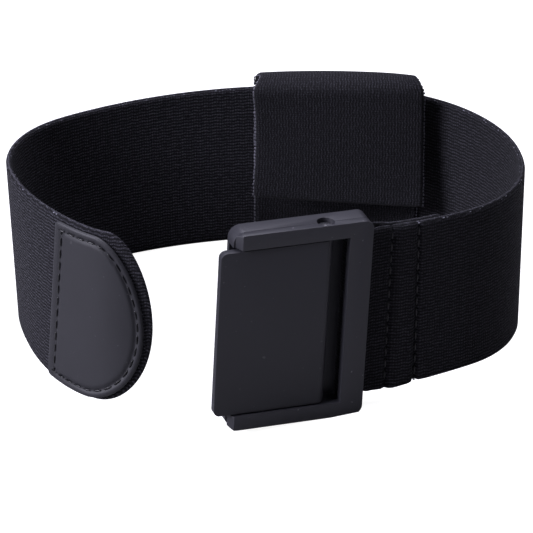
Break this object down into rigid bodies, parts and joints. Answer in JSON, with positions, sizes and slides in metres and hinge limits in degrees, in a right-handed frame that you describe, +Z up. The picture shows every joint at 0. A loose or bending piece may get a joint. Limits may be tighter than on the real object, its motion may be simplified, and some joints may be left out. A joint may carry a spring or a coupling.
{
  "type": "elastic travel band",
  "caption": "Short elastic strap with a flat lever clamp buckle, a stitched D-shaped tongue and a fold-over pocket on the inside, worn round a limb",
  "frame": {"origin": "middle of the loop, in the plane of the web's lower edge", "axes": "+Z up along the web's width, +X along the loop's long side towards the sewn fold, -Y towards the buckle and the tongue"},
  "size_m": [0.118, 0.0877, 0.0517],
  "materials": {
    "elastic": "ribbed woven elastic",
    "pocket_elastic": "ribbed woven elastic",
    "thread": "glossy polyester thread",
    "hook_loop": "hook and loop pile",
    "facing": "smooth satin, pressed",
    "buckle": "fine matte, moulded",
    "lever": "fine matte, moulded",
    "pin": "black, satin"
  },
  "bodies": {
    "strap": {"elastic_band": "elastic", "folded_end": "elastic", "fold_stitches": "thread", "pocket_back": "pocket_elastic", "pocket_stitches": "thread", "hook_pad": "hook_loop"},
    "flap": {"pocket_flap": "pocket_elastic", "loop_pad": "hook_loop"},
    "tail": {"band_tail": "elastic", "tongue_facing": "facing", "tongue_stitches": "thread"},
    "buckle": {"buckle_rear": "buckle", "buckle_front": "buckle", "pivot_pin": "pin", "end_loop": "elastic"},
    "lever": {"clamp_lever": "lever"}
  },
  "joints": [
    {"name": "tail_flex", "type": "hinge", "parent": "strap", "child": "tail", "pos_m": [-0.05776, -0.0042, 0.02], "axis": [0, 0, 1], "range_deg": [-20, 25], "stiffness_Nm_per_rad": 0.002},
    {"name": "buckle_flex", "type": "hinge", "parent": "strap", "child": "buckle", "pos_m": [0.02379, -0.03149, 0.02], "axis": [0.0492, 0.0179, 0.9986], "range_deg": [-20, 20], "stiffness_Nm_per_rad": 0.002},
    {"name": "lever_pivot", "type": "hinge", "parent": "buckle", "child": "lever", "pos_m": [0.0119, -0.03771, 0.02], "axis": [0.0492, 0.0179, 0.9986], "range_deg": [0, 85]},
    {"name": "flap_lift", "type": "hinge", "parent": "strap", "child": "flap", "pos_m": [0.01699, 0.02795, 0.04176], "axis": [-0.9994, 0.0349, 0], "range_deg": [0, 120], "stiffness_Nm_per_rad": 0.0005}
  ]
}
